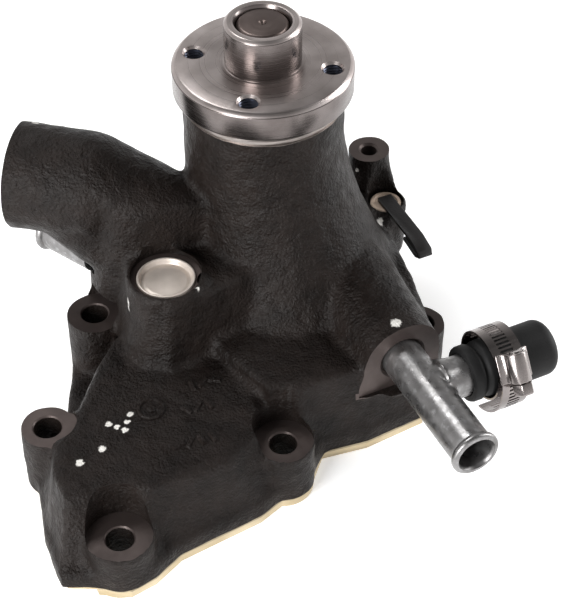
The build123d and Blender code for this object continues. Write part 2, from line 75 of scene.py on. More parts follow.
def shader(name, metallic, roughness):
    """A material, its node tree and its principled shader."""
    made = bpy.data.materials.new(name)
    made.use_nodes = True
    tree = made.node_tree
    bsdf = tree.nodes["Principled BSDF"]
    bsdf.inputs["Metallic"].default_value = metallic
    bsdf.inputs["Roughness"].default_value = roughness
    return made, tree, bsdf


def place(tree):
    """Object-space position."""
    return tree.nodes.new("ShaderNodeTexCoord").outputs["Object"]


def cloud(tree, scale, detail=4.0, stretch=None):
    """Noise value over the object, stretched along an axis if asked."""
    source = place(tree)
    if stretch:
        mapping = tree.nodes.new("ShaderNodeMapping")
        mapping.inputs["Scale"].default_value = stretch
        tree.links.new(source, mapping.inputs["Vector"])
        source = mapping.outputs["Vector"]
    field = tree.nodes.new("ShaderNodeTexNoise")
    field.inputs["Scale"].default_value = scale
    field.inputs["Detail"].default_value = detail
    tree.links.new(source, field.inputs["Vector"])
    return field.outputs["Fac"]


def spread(tree, value, low, high, out_low=0.0, out_high=1.0):
    """Linear remap of a value, clamped."""
    step = tree.nodes.new("ShaderNodeMapRange")
    step.inputs["From Min"].default_value = low
    step.inputs["From Max"].default_value = high
    step.inputs["To Min"].default_value = out_low
    step.inputs["To Max"].default_value = out_high
    tree.links.new(value, step.inputs["Value"])
    return step.outputs["Result"]


def blend(tree, factor, first, second):
    """Colour mix of two colours or sockets."""
    mix = tree.nodes.new("ShaderNodeMix")
    mix.data_type = "RGBA"
    tree.links.new(factor, mix.inputs["Factor"])
    for socket, value in ((mix.inputs["A"], first), (mix.inputs["B"], second)):
        if isinstance(value, tuple):
            socket.default_value = (*value, 1.0)
        else:
            tree.links.new(value, socket)
    return mix.outputs["Result"]


def relief(tree, bsdf, heights):
    """Bump from several (value, distance) pairs, one on top of the other."""
    normal = None
    for value, distance in heights:
        bump = tree.nodes.new("ShaderNodeBump")
        bump.inputs["Strength"].default_value = 1.0
        bump.inputs["Distance"].default_value = distance
        tree.links.new(value, bump.inputs["Height"])
        if normal:
            tree.links.new(normal, bump.inputs["Normal"])
        normal = bump.outputs["Normal"]
    tree.links.new(normal, bsdf.inputs["Normal"])


def paint_mask(tree, spots):
    """One where any paint spot is, zero elsewhere. Each spot is (centre, radius) in millimetres."""
    wobble = spread(tree, cloud(tree, 900.0, 3.0), 0.2, 0.8, -0.0007, 0.0007)
    total = None
    for centre, radius in spots:
        gap = tree.nodes.new("ShaderNodeVectorMath")
        gap.operation = "DISTANCE"
        tree.links.new(place(tree), gap.inputs[0])
        gap.inputs[1].default_value = Vector(centre) * MM
        edge = tree.nodes.new("ShaderNodeMath")
        edge.operation = "ADD"
        tree.links.new(gap.outputs["Value"], edge.inputs[0])
        tree.links.new(wobble, edge.inputs[1])
        one = spread(tree, edge.outputs["Value"], radius * MM * 0.8, radius * MM * 1.15, 1.0, 0.0)
        if total is None:
            total = one
            continue
        both = tree.nodes.new("ShaderNodeMath")
        both.operation = "MAXIMUM"
        tree.links.new(total, both.inputs[0])
        tree.links.new(one, both.inputs[1])
        total = both.outputs["Value"]
    return total


def cast_material(name, dark, light, spots=()):
    """Sand-cast iron under a thin dark coat."""
    made, tree, bsdf = shader(name, 0.0, 0.5)
    bsdf.inputs["Specular IOR Level"].default_value = 0.16
    tone = spread(tree, cloud(tree, 90.0, 6.0), 0.3, 0.72)
    colour = blend(tree, tone, dark, light)
    # Painted highlights: fine bright specks blended into the colour stand in for glints off the sand-cast
    # surface.
    glint_specks = spread(tree, cloud(tree, 1500.0, 2.0), 0.55, 0.75)
    glint_colour = tuple(v * 1.9 for v in light)
    colour = blend(tree, spread(tree, glint_specks, 0.0, 1.0, 0.0, 0.35), colour, glint_colour)
    if spots:
        mask = paint_mask(tree, spots)
        colour = blend(tree, mask, colour, (0.78, 0.76, 0.72))
    tree.links.new(colour, bsdf.inputs["Base Color"])
    rough = spread(tree, cloud(tree, 220.0, 5.0), 0.3, 0.7, 0.34, 0.56)
    tree.links.new(rough, bsdf.inputs["Roughness"])
    relief(tree, bsdf, [(cloud(tree, 260.0, 6.0), 0.0011), (cloud(tree, 1000.0, 3.0), 0.0006)])
    return made


def machined_material(name, dark, light, rough, metallic=1.0, stretch=None, scale=400.0, depth=0.00004):
    """Cut or ground metal with fine tool marks and faint stains."""
    made, tree, bsdf = shader(name, metallic, rough)
    tone = spread(tree, cloud(tree, 60.0, 5.0), 0.3, 0.7)
    tree.links.new(blend(tree, tone, dark, light), bsdf.inputs["Base Color"])
    marks = cloud(tree, scale, 3.0, stretch)
    tree.links.new(spread(tree, marks, 0.25, 0.75, rough * 0.75, rough * 1.3), bsdf.inputs["Roughness"])
    relief(tree, bsdf, [(marks, depth)])
    return made


def turned_material(name, dark, light, rough, centre=(0.0, 0.0), pitch=0.45, depth=0.00002):
    """Lathe-turned metal: rings about an upright axis."""
    made, tree, bsdf = shader(name, 1.0, rough)
    shift = tree.nodes.new("ShaderNodeMapping")
    shift.inputs["Location"].default_value = (-centre[0] * MM, -centre[1] * MM, 0.0)
    tree.links.new(place(tree), shift.inputs["Vector"])
    flat = tree.nodes.new("ShaderNodeVectorMath")
    flat.operation = "MULTIPLY"
    flat.inputs[1].default_value = (1.0, 1.0, 0.0)
    tree.links.new(shift.outputs["Vector"], flat.inputs[0])
    radius = tree.nodes.new("ShaderNodeVectorMath")
    radius.operation = "LENGTH"
    tree.links.new(flat.outputs["Vector"], radius.inputs[0])
    line = tree.nodes.new("ShaderNodeCombineXYZ")
    tree.links.new(radius.outputs["Value"], line.inputs["X"])
    height = tree.nodes.new("ShaderNodeSeparateXYZ")
    tree.links.new(place(tree), height.inputs["Vector"])
    tree.links.new(height.outputs["Z"], line.inputs["Y"])
    rings = tree.nodes.new("ShaderNodeTexNoise")
    rings.inputs["Scale"].default_value = 1.0 / (pitch * MM)
    rings.inputs["Detail"].default_value = 3.0
    tree.links.new(line.outputs["Vector"], rings.inputs["Vector"])
    stain = spread(tree, cloud(tree, 110.0, 6.0), 0.35, 0.7)
    colour = blend(tree, stain, dark, light)
    tree.links.new(colour, bsdf.inputs["Base Color"])
    polish = spread(tree, rings.outputs["Fac"], 0.2, 0.8, rough * 0.7, rough * 1.4)
    tree.links.new(polish, bsdf.inputs["Roughness"])
    relief(tree, bsdf, [(rings.outputs["Fac"], depth)])
    return made


def moulded_material(name, colour, rough, depth=0.0001):
    """Rubber or plastic with a faint moulded grain."""
    made, tree, bsdf = shader(name, 0.0, rough)
    bsdf.inputs["Specular IOR Level"].default_value = 0.3
    light = tuple(min(1.0, v * 1.5 + 0.004) for v in colour)
    tone = spread(tree, cloud(tree, 120.0, 5.0), 0.35, 0.75)
    tree.links.new(blend(tree, tone, colour, light), bsdf.inputs["Base Color"])
    relief(tree, bsdf, [(cloud(tree, 1300.0, 3.0), depth)])
    return made


def zinc_material(name):
    """Dull zinc plate: spangled grey, patchy."""
    made, tree, bsdf = shader(name, 0.9, 0.34)
    patch = spread(tree, cloud(tree, 130.0, 6.0), 0.3, 0.7)
    colour = blend(tree, patch, (0.17, 0.165, 0.163), (0.32, 0.315, 0.315))
    stain = spread(tree, cloud(tree, 420.0, 5.0), 0.55, 0.75)
    colour = blend(tree, stain, colour, (0.40, 0.40, 0.405))
    tree.links.new(colour, bsdf.inputs["Base Color"])
    tree.links.new(spread(tree, cloud(tree, 300.0, 5.0), 0.3, 0.7, 0.22, 0.46), bsdf.inputs["Roughness"])
    relief(tree, bsdf, [(cloud(tree, 700.0, 4.0), 0.00005)])
    return made


# ---------------------------------------------------------------- shapes


def to_object(name, mesh):
    """Object from a bmesh, linked to the scene."""
    bmesh.ops.recalc_face_normals(mesh, faces=mesh.faces)
    data = bpy.data.meshes.new(name)
    mesh.to_mesh(data)
    mesh.free()
    made = bpy.data.objects.new(name, data)
    bpy.context.scene.collection.objects.link(made)
    return made


def lathe(name, profile, base, axis=(0, 0, 1), steps=96):
    """Closed solid turned round an axis. The profile is (radius, height) round the section; all in mm."""
    turn = Vector(axis).to_track_quat("Z", "Y")
    mesh = bmesh.new()
    rings = []
    for i in range(steps):
        angle = 2 * math.pi * i / steps
        arm = Vector((math.cos(angle), math.sin(angle), 0))
        points = [Vector(base) + turn @ (arm * radius + Vector((0, 0, height))) for radius, height in profile]
        rings.append([mesh.verts.new(point * MM) for point in points])
    for i in range(steps):
        here, there = rings[i], rings[(i + 1) % steps]
        for k in range(len(profile)):
            n = (k + 1) % len(profile)
            if max(profile[k][0], profile[n][0]) > 1e-6:
                mesh.faces.new((here[k], there[k], there[n], here[n]))
    bmesh.ops.remove_doubles(mesh, verts=mesh.verts, dist=1e-7)
    bmesh.ops.dissolve_degenerate(mesh, dist=1e-8, edges=mesh.edges)
    return to_object(name, mesh)


def slab(name, outline, low, high):
    """Prism on an outline given in mm, from one height to another along Z."""
    mesh = bmesh.new()
    floor = [mesh.verts.new(Vector((x, y, low)) * MM) for x, y in outline]
    roof = [mesh.verts.new(Vector((x, y, high)) * MM) for x, y in outline]
    mesh.faces.new(floor)
    mesh.faces.new(roof)
    for i in range(len(outline)):
        n = (i + 1) % len(outline)
        mesh.faces.new((floor[i], floor[n], roof[n], roof[i]))
    return to_object(name, mesh)


def box(name, low, high):
    """Box between two corners in mm."""
    outline = [(low[0], low[1]), (high[0], low[1]), (high[0], high[1]), (low[0], high[1])]
    return slab(name, outline, low[2], high[2])


def post(name, x, y, low, high, radius, steps=72):
    """Upright cylinder."""
    return lathe(name, [(0, low), (radius, low), (radius, high), (0, high)], (x, y, 0), steps=steps)


def bar(name, start, end, radius, steps=72):
    """Cylinder between two points."""
    line = Vector(end) - Vector(start)
    return lathe(name, [(0, 0), (radius, 0), (radius, line.length), (0, line.length)], start, line, steps)


def apply(made):
    """Bakes the modifiers into the mesh."""
    bpy.context.view_layer.update()
    graph = bpy.context.evaluated_depsgraph_get()
    data = bpy.data.meshes.new_from_object(made.evaluated_get(graph))
    made.modifiers.clear()
    made.data = data


def join(parts):
    """Several closed shells as one object."""
    mesh = bmesh.new()
    for part in parts:
        mesh.from_mesh(part.data)
        bpy.data.objects.remove(part)
    return to_object("joined", mesh)


def combine(made, tool, operation="DIFFERENCE", solver="MANIFOLD"):
    """Boolean of a piece with a tool, which is used up."""
    step = made.modifiers.new("step", "BOOLEAN")
    step.operation = operation
    step.solver = solver
    step.object = tool
    apply(made)
    bpy.data.objects.remove(tool)


def modify(made, kind, **settings):
    """One modifier, baked."""
    step = made.modifiers.new("step", kind)
    for key, value in settings.items():
        setattr(step, key, value)
    apply(made)


def cad_copy(node, name):
    """Editable welded copy of a CAD node."""
    source = frame["nodes"][node]
    mesh = bmesh.new()
    mesh.from_mesh(source.data)
    bmesh.ops.remove_doubles(mesh, verts=mesh.verts, dist=2e-6)
    return to_object(name, mesh)


def shade(made, degrees=32):
    """Smooth shading with edges sharper than an angle kept."""
    for face in made.data.polygons:
        face.use_smooth = True
    made.data.set_sharp_from_angle(angle=math.radians(degrees))


def finish_piece(made, name, node, materials, degrees=32):
    """Names a piece, gives it its materials and ties it to the frame."""
    made.name = name
    made.data.materials.clear()
    for material in materials:
        made.data.materials.append(material)
    shade(made, degrees)
    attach(made, BODY_OF[node])
    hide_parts(node)


# ---------------------------------------------------------------- casting


def mm(mount):
    """Place of a mount in mm."""
    return [value * 1000 for value in MOUNTS[mount]["pos_m"]]


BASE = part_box("pump_housing")[0].z * 1000
SNOUT_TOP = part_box("pump_housing")[1].z * 1000
BOLTS = {key: (*mm("mounting_hole_" + key)[:2], 2 * mm("mounting_hole_" + key)[2]) for key in "abcdg"}
BOSS_R = {"a": 10.5, "b": 9.5, "c": 11.5, "d": 12.0, "g": 9.0}
PIPE_AXIS = Vector(MOUNTS["hose_spigot"]["axis"])
MOUTH = Vector(mm("hose_spigot"))
PIPE_R = 20.0
PIPE_BORE_R = 16.5
TUBE_SEAT_R = 8.02
BOLT_HOLE_R = 5.1
WIDE_BOSS_R = 11
TAP = mm("accessory_tap")
TAP_TOP = TAP[2] + MOUNTS["accessory_tap"]["dims"]["length_mm"] / 2
TEE = Vector(mm("heater_tee_spigot"))
TEE_FACE_Y = -76.3
CAD_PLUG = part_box("core_plug")
PLUG = (CAD_PLUG[0] + CAD_PLUG[1]) * 500
PLUG_TOP = CAD_PLUG[1].z * 1000
CAD_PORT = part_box("port_plug")
PORT = (CAD_PORT[0] + CAD_PORT[1]) * 500
PORT_TOP = CAD_PORT[1].z * 1000 - 1.4
BYPASS_END = Vector(mm("bypass_spigot"))
BYPASS_AXIS = Vector(MOUNTS["bypass_spigot"]["axis"])


def casting_blank():
    """The casting before machining: holes filled and machined faces left proud."""
    blank = cad_copy("pump_housing", "blank")
    for vertex in blank.data.vertices:
        if vertex.co.z * 1000 < BASE + 0.05:
            vertex.co.z -= 4 * MM
    fills = [blank]
    for key, (x, y, top) in BOLTS.items():
        fills.append(post("fill", x, y, BASE - 4, top + 3, BOSS_R[key] + 0.35))
    fills.append(post("fill", 0, 0, 60, SNOUT_TOP + 4, 29.6))
    fills.append(post("fill", PLUG.x, PLUG.y, 30, PLUG_TOP + 1.6, 14.6))
    fills.append(post("fill", TAP[0], TAP[1], 40, TAP_TOP + 3, 8.2))
    fills.append(post("fill", PORT.x, PORT.y, 28, PORT_TOP + 2.6, 8.5))
    fills.append(bar("fill", MOUTH - PIPE_AXIS * 24, MOUTH + PIPE_AXIS * 4, PIPE_R + 0.15))
    fills.append(bar("fill", (TEE.x, TEE_FACE_Y - 5, TEE.z), (TEE.x, TEE_FACE_Y + 20, TEE.z), 15.6))
    fills.append(box("fill", (TEE.x - 15.5, TEE_FACE_Y - 5, 26.6), (TEE.x + 15.5, TEE_FACE_Y + 12, TEE.z)))
    fills.append(bar("fill", (-14, -10, 48.5), (-42, -29.5, 63.0), 4.2))
    return join(fills)


def machining():
    """Solid of everything the machine shop takes off the casting."""
    tools = []
    for key, (x, y, top) in BOLTS.items():
        wide = BOSS_R[key] > WIDE_BOSS_R
        tools.append(post("spot", x, y, top, top + (22 if wide else 6), BOSS_R[key] - 0.15 if wide else 10.9))
        hole = [(0, -4), (BOLT_HOLE_R, -4), (BOLT_HOLE_R, top - 0.5)]
        hole += [(5.7, top + 0.1), (5.7, top + 1), (0, top + 1)]
        tools.append(lathe("hole", hole, (x, y, 0)))
    bearing = [(0, 42), (14.9, 42), (14.9, 50), (19.03, 50), (19.03, SNOUT_TOP - 1)]
    bearing += [(20, SNOUT_TOP), (20, SNOUT_TOP + 9), (0, SNOUT_TOP + 9)]
    tools.append(lathe("bearing", bearing, (0, 0, 0), steps=128))
    rim = [(29.0, SNOUT_TOP - 2.1), (34, SNOUT_TOP - 2.1), (34, SNOUT_TOP), (34, SNOUT_TOP + 8)]
    rim += [(0, SNOUT_TOP + 8), (0, SNOUT_TOP), (28.4, SNOUT_TOP), (29.0, SNOUT_TOP - 0.6)]
    tools.append(lathe("rim", rim, (0, 0, 0), steps=128))
    seat = [(0, 26), (10.98, 26), (10.98, PLUG_TOP - 1.0), (11.9, PLUG_TOP - 0.4)]
    seat += [(13.3, PLUG_TOP - 0.3), (13.3, PLUG_TOP + 6), (0, PLUG_TOP + 6)]
    tools.append(lathe("seat", seat, (PLUG.x, PLUG.y, 0)))
    tools.append(post("face", TAP[0], TAP[1], TAP_TOP, TAP_TOP + 6, 11))
    tap = [(0, TAP_TOP - 16), (3.2, TAP_TOP - 16), (3.2, TAP_TOP - 0.8)]
    tap += [(4.1, TAP_TOP), (4.1, TAP_TOP + 2), (0, TAP_TOP + 2)]
    tools.append(lathe("tap", tap, (TAP[0], TAP[1], 0)))
    tools.append(post("port", PORT.x, PORT.y, PORT_TOP - 10, PORT_TOP + 1, 4.5))
    tools.append(post("port face", PORT.x, PORT.y, PORT_TOP, PORT_TOP + 12, 7.3))
    tools.append(bar("mouth", MOUTH, MOUTH + PIPE_AXIS * 12, PIPE_R + 8))
    tools.append(bar("mouth bore", MOUTH - PIPE_AXIS * 26, MOUTH + PIPE_AXIS * 2, PIPE_BORE_R))
    tee_start, tee_end = (TEE.x, TEE_FACE_Y - 4, TEE.z), (TEE.x, TEE_FACE_Y + 24, TEE.z)
    tools.append(bar("tee bore", tee_start, tee_end, TUBE_SEAT_R))
    tee_edge = [(0, -3), (9.4, -3), (9.4, 0), (8.0, 1.2), (0, 1.2)]
    tools.append(lathe("tee edge", tee_edge, (TEE.x, TEE_FACE_Y, TEE.z), (0, 1, 0)))
    tools.append(box("tee face", (TEE.x - 18, TEE_FACE_Y - 12, 26.0), (TEE.x + 18, TEE_FACE_Y, 60)))
    tools.append(bar("weep", (-12, -9, 47.5), (-41, -28.8, 64.0), 1.7, 32))
    root = BYPASS_END - BYPASS_AXIS * 31
    tools.append(bar("bypass", root, BYPASS_END, TUBE_SEAT_R))
    tools.append(box("joint", (-150, -130, BASE - 12), (90, 80, BASE)))
    return tools


def machined_faces(made):
    """Second material on the cut faces, found by where they lie."""
    for face in made.data.polygons:
        c = face.center * 1000
        n = face.normal
        cut = n.z < -0.999 and abs(c.z - BASE) < 0.02
        cut = cut or (c.z > SNOUT_TOP - 2.2 and abs(c.xy.length - 24) < 5.3)
        for key, (x, y, top) in BOLTS.items():
            near = math.hypot(c.x - x, c.y - y)
            cut = cut or (near < 12.5 and abs(c.z - top) < 0.02 and n.z > 0.99)
            cut = cut or (5.15 < near < 5.9 and top - 0.7 < c.z < top + 0.1)
        near = math.hypot(c.x - PLUG.x, c.y - PLUG.y)
        cut = cut or (near < 13.4 and PLUG_TOP - 1.3 < c.z < PLUG_TOP + 0.5)
        near = math.hypot(c.x - TAP[0], c.y - TAP[1])
        cut = cut or (near < 9 and abs(c.z - TAP_TOP) < 0.02) or (near < 4.2 and c.z > TAP_TOP - 17)
        on_face = TEE_FACE_Y - 1.3 < c.y < TEE_FACE_Y + 1.25 and n.y < -0.6
        by_tee = abs(c.x - TEE.x) < 19 and c.z > 25
        in_bore = (c - Vector((TEE.x, c.y, TEE.z))).length < 9.6
        cut = cut or (on_face and by_tee and (c.y < TEE_FACE_Y + 0.02 or in_bore))
        cut = cut or ((c - MOUTH).dot(PIPE_AXIS) > -0.02)
        rim = c.z > SNOUT_TOP - 2.2 and c.xy.length > 24
        face.material_index = 2 if rim else (1 if cut else 0)


def raised_marks(skin):
    """Plain raised casting marks on the outlet cover: a ring with a stud, and two rows of bars."""
    tools = []
    ring = [(3.9, -1.0), (5.1, -1.0), (5.2, 0.4), (4.85, 0.85), (4.15, 0.85), (3.9, 0.4)]
    stud = [(0, -1.0), (1.6, -1.0), (1.7, 0.5), (1.2, 0.9), (0, 0.9)]
    for profile in (ring, stud):
        where, normal = on_skin(skin, -72.0, -55.0)
        tools.append(lathe("mark", profile, where, normal, 36))
    rows = [(-54.0, -51.0, 3), (-60.5, -61.0, 3), (-70.0, -75.5, 4)]
    for x, y, count in rows:
        for i in range(count):
            where, normal = on_skin(skin, x + 4.2 * i, y - 0.5 * i)
            tools.append(raised_bar(where, normal, 2.5, 0.95, 0.9))
    return tools


def on_skin(skin, x, y):
    """Point of the casting's top straight below a place in plan, in mm, and its normal."""
    _hit, where, normal, _index = skin.ray_cast(Vector((x, y, 120)) * MM, Vector((0, 0, -1)))
    return where * 1000, normal


def raised_bar(where, normal, half_length, half_width, height):
    """Short raised bar with sloping sides."""
    turn = Vector(normal).to_track_quat("Z", "Y")
    mesh = bmesh.new()
    rings = []
    for z, inset in ((-1.0, -0.3), (0.1, 0.0), (height, 0.4)):
        x, y = half_width - inset, half_length - inset
        corners = [(-x, -y), (x, -y), (x, y), (-x, y)]
        rings.append([mesh.verts.new((Vector(where) + turn @ Vector((a, b, z))) * MM) for a, b in corners])
    mesh.faces.new(rings[0])
    mesh.faces.new(rings[2])
    for low, high in ((0, 1), (1, 2)):
        for i in range(4):
            n = (i + 1) % 4
            mesh.faces.new((rings[low][i], rings[low][n], rings[high][n], rings[high][i]))
    return to_object("bar", mesh)


def make_casting(materials):
    """The cast housing: soft cast skin with crisp machining."""
    skin = casting_blank()
    modify(skin, "REMESH", mode="VOXEL", voxel_size=0.00145, adaptivity=0.0)
    modify(skin, "SMOOTH", factor=0.5, iterations=6)
    low, high = CAD_LOW + Vector((0.3, 0.3, 0.3)) * MM, CAD_HIGH - Vector((0.3, 0.3, 0.3)) * MM
    normals = [vertex.normal.copy() for vertex in skin.data.vertices]
    for vertex, normal in zip(skin.data.vertices, normals):
        wave = noise.noise(vertex.co * 70) * 0.4 + noise.noise(vertex.co * 190) * 0.22
        vertex.co += normal * wave * MM
        vertex.co.x = min(max(vertex.co.x, low.x), high.x)
        vertex.co.y = min(max(vertex.co.y, low.y), high.y)
    for tool in machining():
        combine(skin, tool)
    for tool in raised_marks(skin):
        combine(skin, tool, "UNION")
    finish_piece(skin, "casting", "pump_housing", materials, 38)
    machined_faces(skin)


# ---------------------------------------------------------------- hub and shaft


# Direction of the first hub bolt, in degrees.
HUB_BOLT_START = -37


def make_hub(material, thread_material, face_material):
    """Drive hub: turned flange with a nose, a pressed collar and threaded holes."""
    low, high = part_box("hub_flange")
    top = 130.0
    under = 118.5
    radius = high.x * 1000
    nose_top = high.z * 1000
    shaft_r = 9.53
    profile = [(shaft_r, low.z * 1000), (13.5, low.z * 1000), (13.5, under + 0.4), (14.0, under)]
    profile += [(radius - 1.0, under), (radius - 0.25, under + 0.5), (radius, under + 1.1)]
    profile += [(radius, top - 1.7), (radius - 0.2, top - 1.35)]
    profile += [(radius - 1.5, top - 0.12), (radius - 1.8, top)]
    profile += [(15.2, top), (14.6, top - 0.18), (14.0, top - 0.1), (13.93, top + 0.3), (13.95, top + 1.2)]
    profile += [(14.0, top + 1.3), (14.0, nose_top - 1.3), (13.85, nose_top - 1.0)]
    profile += [(12.95, nose_top - 0.12), (12.7, nose_top)]
    profile += [(10.9, nose_top), (10.6, nose_top - 0.1)]
    profile += [(shaft_r + 0.35, nose_top - 1.2), (shaft_r, nose_top - 2.4)]
    hub = lathe("hub", profile, (0, 0, 0), steps=192)
    bolts = MOUNTS["hub_bolts"]["dims"]
    for i in range(4):
        angle = math.radians(HUB_BOLT_START + 90 * i)
        x = bolts["pcd_mm"] / 2 * math.cos(angle)
        y = bolts["pcd_mm"] / 2 * math.sin(angle)
        root = bolts["hole_r_mm"]
        thread = [(0, under - 1), (root + 1, under - 1), (root + 1, under), (root, under + 1)]
        turns = 8
        for k in range(turns):
            z = under + 1.1 + k * 1.15
            thread += [(root, z), (root + 0.62, z + 0.5), (root + 0.62, z + 0.62), (root, z + 1.1)]
        thread += [(root, top - 0.95), (root + 0.85, top), (root + 0.85, top + 1), (0, top + 1)]
        combine(hub, lathe("thread", thread, (x, y, 0), steps=48))
    finish_piece(hub, "drive_hub", "hub_flange", [material, thread_material, face_material], 25)
    for face in hub.data.polygons:
        c = face.center * 1000
        if face.normal.z > 0.6 and c.z > top - 1:
            face.material_index = 2
        for i in range(4):
            angle = math.radians(HUB_BOLT_START + 90 * i)
            spot = Vector((math.cos(angle), math.sin(angle))) * bolts["pcd_mm"] / 2
            if (c.xy - spot).length < 4.1 and c.z < top - 0.9 and c.z > under + 0.02:
                face.material_index = 1


def make_shaft(material):
    """Ground shaft with a chamfer and a centre at the hub end."""
    low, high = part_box("pump_shaft")
    top = high.z * 1000
    bottom = low.z * 1000
    profile = [(0, bottom), (7.35, bottom), (7.95, bottom + 0.6), (7.95, 50.2)]
    profile += [(9.525, 50.5), (9.525, top - 1.3)]
    profile += [(9.3, top - 0.9), (8.6, top - 0.1), (8.3, top), (1.5, top), (0.7, top - 1.2), (0, top - 1.8)]
    shaft = lathe("shaft", profile, (0, 0, 0), steps=96)
    finish_piece(shaft, "shaft", "pump_shaft", [material])


# ---------------------------------------------------------------- plug, tee, cap, clamp


def make_core_plug(material):
    """Dished cup plug with a rolled rim."""
    top = PLUG_TOP
    profile = [(0, top - 3.3), (9.0, top - 3.3), (9.8, top - 4.0)]
    profile += [(9.8, top - 7), (10.98, top - 7), (10.98, top - 0.5)]
    profile += [(10.8, top - 0.12), (10.45, top), (10.1, top - 0.12), (9.85, top - 0.5)]
    profile += [(9.75, top - 1.6), (9.3, top - 2.1)]
    profile += [(8.5, top - 2.2), (8.1, top - 1.95), (7.4, top - 1.9), (0, top - 1.75)]
    plug = lathe("plug", profile, (PLUG.x, PLUG.y, 0), steps=128)
    finish_piece(plug, "cup_plug", "core_plug", [material], 40)


def make_tee(material):
    """Heater tee: smooth junction, beaded mouth, thin wall."""
    branch_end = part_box("tee_tube")[1].x * 1000
    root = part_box("tee_tube")[1].y * 1000
    cap = (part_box("branch_cap")[0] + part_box("branch_cap")[1]) * 500
    parts = [bar("run", (TEE.x, TEE.y + 1, TEE.z), (TEE.x, root, TEE.z), 8.0, 96)]
    parts.append(bar("branch", (TEE.x, cap.y, TEE.z), (branch_end, cap.y, TEE.z), 7.9, 96))
    saddle = [(0, 6), (9.0, 6), (8.3, 9.5), (7.9, 12.0), (0, 12.0)]
    parts.append(lathe("saddle", saddle, (TEE.x, cap.y, TEE.z), (1, 0, 0)))
    tee = join(parts)
    modify(tee, "REMESH", mode="VOXEL", voxel_size=0.00052, adaptivity=0.0)
    modify(tee, "SMOOTH", factor=0.5, iterations=10)
    bead = [(0, 0.3), (7.6, 0.0), (8.6, 0.15), (9.1, 0.7), (9.2, 1.4), (9.1, 2.2)]
    bead += [(8.6, 2.8), (8.02, 3.3), (0, 3.4)]
    combine(tee, lathe("bead", bead, (TEE.x, TEE.y, TEE.z), (0, 1, 0)), "UNION")
    length = root - TEE.y
    bore = [(0, -1), (7.5, -1), (7.3, 0.25), (6.85, 0.8), (6.8, 2), (6.8, length + 1), (0, length + 1)]
    combine(tee, lathe("bore", bore, (TEE.x, TEE.y, TEE.z), (0, 1, 0)))
    combine(tee, bar("side bore", (TEE.x, cap.y, TEE.z), (branch_end + 1, cap.y, TEE.z), 6.7))
    finish_piece(tee, "heater_tee", "tee_tube", [material], 40)


def make_cap(material):
    """Moulded blind cap with a lip at its mouth."""
    low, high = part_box("branch_cap")
    y, z = (low.y + high.y) * 500, (low.z + high.z) * 500
    length = (high.x - low.x) * 1000
    bore = 50.5 - low.x * 1000
    profile = [(7.92, bore), (7.92, 0.6), (8.3, 0.0), (9.6, 0.0), (10.4, 0.35)]
    profile += [(10.68, 1.1), (10.68, 3.6), (10.4, 4.4)]
    profile += [(9.7, 4.9), (9.45, 5.6), (9.6, 6.2), (10.3, 6.8), (10.6, 7.6)]
    profile += [(10.65, 12), (10.6, 16), (10.68, 20), (10.68, length - 4.5)]
    for i in range(9):
        angle = math.pi / 2 * i / 8
        profile.append((10.68 - 4.0 + 4.0 * math.cos(angle), length - 4.0 + 4.0 * math.sin(angle)))
    profile += [(4.6, length), (4.2, length - 0.25), (0, length - 0.3), (0, bore)]
    cap = lathe("cap", profile, (low.x * 1000, y, z), (1, 0, 0), steps=112)
    finish_piece(cap, "rubber_cap", "branch_cap", [material], 40)


BAND = Vector((48.5, -93.4, 40.6))
BAND_R = 12.6
CLAMP_TURN = math.radians(145)
SADDLE_FOOT = BAND_R + 1.7
WORM_HEIGHT = SADDLE_FOOT + 3.95


def band_point(turn, radius):
    """Point on a circle about the clamp's centre, as (y, z) in mm."""
    return (BAND.y + radius * math.cos(turn), BAND.z + radius * math.sin(turn))


def strip(name, path, half_width, slots):
    """Thin strip along a path of (y, z) points, with a ladder of slots where asked."""
    mesh = bmesh.new()
    across = [-half_width, -2.6, 2.6, half_width]
    rows = []
    for y, z in path:
        rows.append([mesh.verts.new(Vector((BAND.x + x, y, z)) * MM) for x in across])
    for i in range(len(path) - 1):
        for k in range(3):
            if k == 1 and slots(i):
                continue
            mesh.faces.new((rows[i][k], rows[i][k + 1], rows[i + 1][k + 1], rows[i + 1][k]))
    return to_object(name, mesh)


def make_band(material):
    """Worm-drive band: a loop and a slotted tail that springs away."""
    path = []
    steps = 190
    for i in range(steps + 1):
        share = i / steps
        turn = CLAMP_TURN + math.radians(14 + 331 * share)
        path.append(band_point(turn, BAND_R + 0.4))
    loop = strip("loop", path, 6.0, lambda i: i % 4 < 2 and i > 118)
    tail = []
    steps = 84
    for i in range(steps + 1):
        share = i / steps
        turn = CLAMP_TURN + math.radians(-18 + 138 * share)
        tail.append(band_point(turn, BAND_R + 0.75 + 0.4 + 6.4 * share**1.6))
    end = strip("tail", tail, 5.6, lambda i: i % 4 < 2 and 22 < i < 78)
    for part in (loop, end):
        modify(part, "SOLIDIFY", thickness=0.0007, offset=0.0)
    band = join([loop, end])
    finish_piece(band, "clamp_band_loop", "clamp_band", [material], 40)


def clamp_place(made):
    """Turns a piece made at the origin (x along the branch, z outwards) to the clamp's housing."""
    outward = Vector((0, math.cos(CLAMP_TURN), math.sin(CLAMP_TURN)))
    side = outward.cross(Vector((1, 0, 0)))
    for vertex in made.data.vertices:
        local = vertex.co.copy()
        vertex.co = BAND * MM + Vector((1, 0, 0)) * local.x + side * local.y + outward * local.z
    made.data.update()


